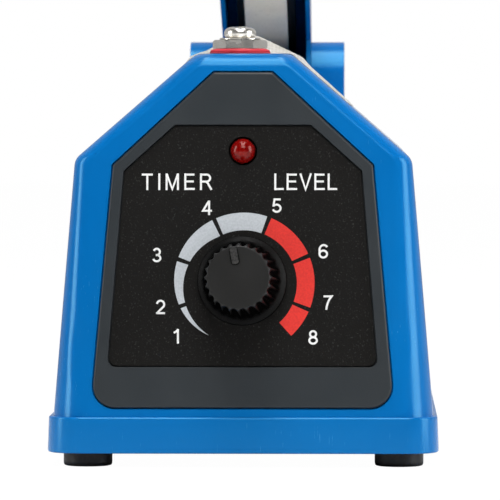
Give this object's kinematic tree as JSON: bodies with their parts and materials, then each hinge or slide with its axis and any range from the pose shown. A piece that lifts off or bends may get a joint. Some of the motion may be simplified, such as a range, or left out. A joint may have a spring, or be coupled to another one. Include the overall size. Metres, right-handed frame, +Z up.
{
  "type": "impulse heat sealer",
  "caption": "Tabletop impulse heat sealer: a long plastic base with a timer dial on its end, a heated strip on top and a hinged press arm.",
  "frame": {"origin": "on the floor under the middle of the object's footprint, lead included", "axes": "+Z up, -Y towards the control panel and the user, +Y towards the hinge and the lead, +X to the user's right when facing the panel"},
  "size_m": [0.08, 0.385, 0.2014],
  "materials": {
    "blue_abs": "injection-moulded blue ABS with a soft gloss",
    "slate_abs": "dark slate-grey satin plastic",
    "dial_black": "black plate with a fine texture and white, grey and red print",
    "black_plastic": "satin black moulded plastic",
    "black_rubber": "dull black rubber",
    "grey_silicone": "matte grey silicone rubber",
    "red_lens": "clear dark-red lamp lens",
    "red_fibre": "red insulating fibre",
    "cream_cloth": "off-white non-stick coated glass cloth",
    "nickel": "nickel plate",
    "zinc_steel": "zinc-plated steel",
    "spring_steel": "bright drawn spring wire and strip",
    "lamination_steel": "varnished dark steel laminations",
    "copper_winding": "copper winding under amber tape",
    "brass": "plain brass",
    "phenolic_brown": "brown phenolic laminate",
    "amber_tape": "amber heat-resistant tape",
    "board_green": "green circuit board",
    "relay_blue": "blue relay case",
    "wire_red": "red wire sleeve",
    "lead_pvc": "black flexible lead sheath"
  },
  "bodies": {
    "base": {"body_shell": "blue_abs", "base_plate": "zinc_steel", "foot_front_left": "black_rubber", "foot_front_right": "black_rubber", "foot_rear_left": "black_rubber", "foot_rear_right": "black_rubber", "foot_screw_front_left": "zinc_steel", "foot_screw_front_right": "zinc_steel", "foot_screw_rear_left": "zinc_steel", "foot_screw_rear_right": "zinc_steel", "control_bezel": "slate_abs", "dial_plate": "dial_black", "indicator_lamp": "red_lens", "potentiometer_body": "zinc_steel", "potentiometer_nut": "nickel", "timer_board": "board_green", "timer_relay": "relay_blue", "timer_capacitor": "slate_abs", "transformer_core": "lamination_steel", "transformer_coil": "copper_winding", "transformer_strap": "zinc_steel", "heater_bar": "phenolic_brown", "insulating_tape": "amber_tape", "heating_ribbon": "nickel", "ptfe_cover": "cream_cloth", "terminal_washer": "red_fibre", "terminal_stud": "nickel", "ribbon_lug_front": "brass", "terminal_screw": "nickel", "terminal_nut": "brass", "terminal_block_rear": "phenolic_brown", "ribbon_lug_rear": "brass", "terminal_screw_rear": "zinc_steel", "hinge_pin": "zinc_steel", "return_spring": "spring_steel", "push_rod_spring": "spring_steel", "microswitch_body": "black_plastic", "switch_bracket": "zinc_steel", "switch_screw_front": "zinc_steel", "switch_screw_rear": "zinc_steel", "power_lead": "lead_pvc", "power_plug": "black_plastic", "lead_grommet": "black_rubber", "wire_front_terminal": "wire_red", "wire_rear_terminal": "wire_red", "wire_switch": "wire_red", "wire_mains": "lead_pvc"},
    "arm": {"press_arm": "blue_abs", "arm_handle": "black_plastic", "handle_screw": "zinc_steel", "strip_carrier": "black_plastic", "carrier_screw_front": "zinc_steel", "carrier_screw_rear": "zinc_steel", "silicone_strip": "grey_silicone"},
    "knob": {"timer_knob": "black_plastic", "potentiometer_shaft": "zinc_steel"},
    "push_rod": {"push_rod": "brass"},
    "switch_lever": {"microswitch_lever": "spring_steel"},
    "switch_button": {"microswitch_button": "red_fibre"}
  },
  "joints": [
    {"name": "arm_hinge", "type": "hinge", "parent": "base", "child": "arm", "pos_m": [0, 0.07937, 0.0775], "axis": [1, 0, 0], "range_deg": [0, 20], "stiffness_Nm_per_rad": 1.2, "springref_deg": -20.05, "deforming": ["return_spring"]},
    {"name": "knob_turn", "type": "hinge", "parent": "base", "child": "knob", "pos_m": [0, -0.17742, 0.038], "axis": [0, -0.9962, 0.0872], "range_deg": [-148, 136]},
    {"name": "push_rod_slide", "type": "slide", "parent": "base", "child": "push_rod", "axis": [0, 0, -1], "range_m": [0, 0.0041], "deforming": ["push_rod_spring"]},
    {"name": "switch_lever_turn", "type": "hinge", "parent": "base", "child": "switch_lever", "pos_m": [0, 0.04907, 0.0414], "axis": [-1, 0, 0], "range_deg": [0, 12.1]},
    {"name": "switch_button_slide", "type": "slide", "parent": "base", "child": "switch_button", "axis": [0, 0, -1], "range_m": [0, 0.0011]}
  ],
  "couplings": [
    {"joint": "push_rod_slide", "follows": "arm_hinge", "m_per_rad": 0.011469},
    {"joint": "switch_lever_turn", "follows": "arm_hinge", "ratio": 0.6},
    {"joint": "switch_button_slide", "follows": "arm_hinge", "m_per_rad": 0.003008}
  ]
}
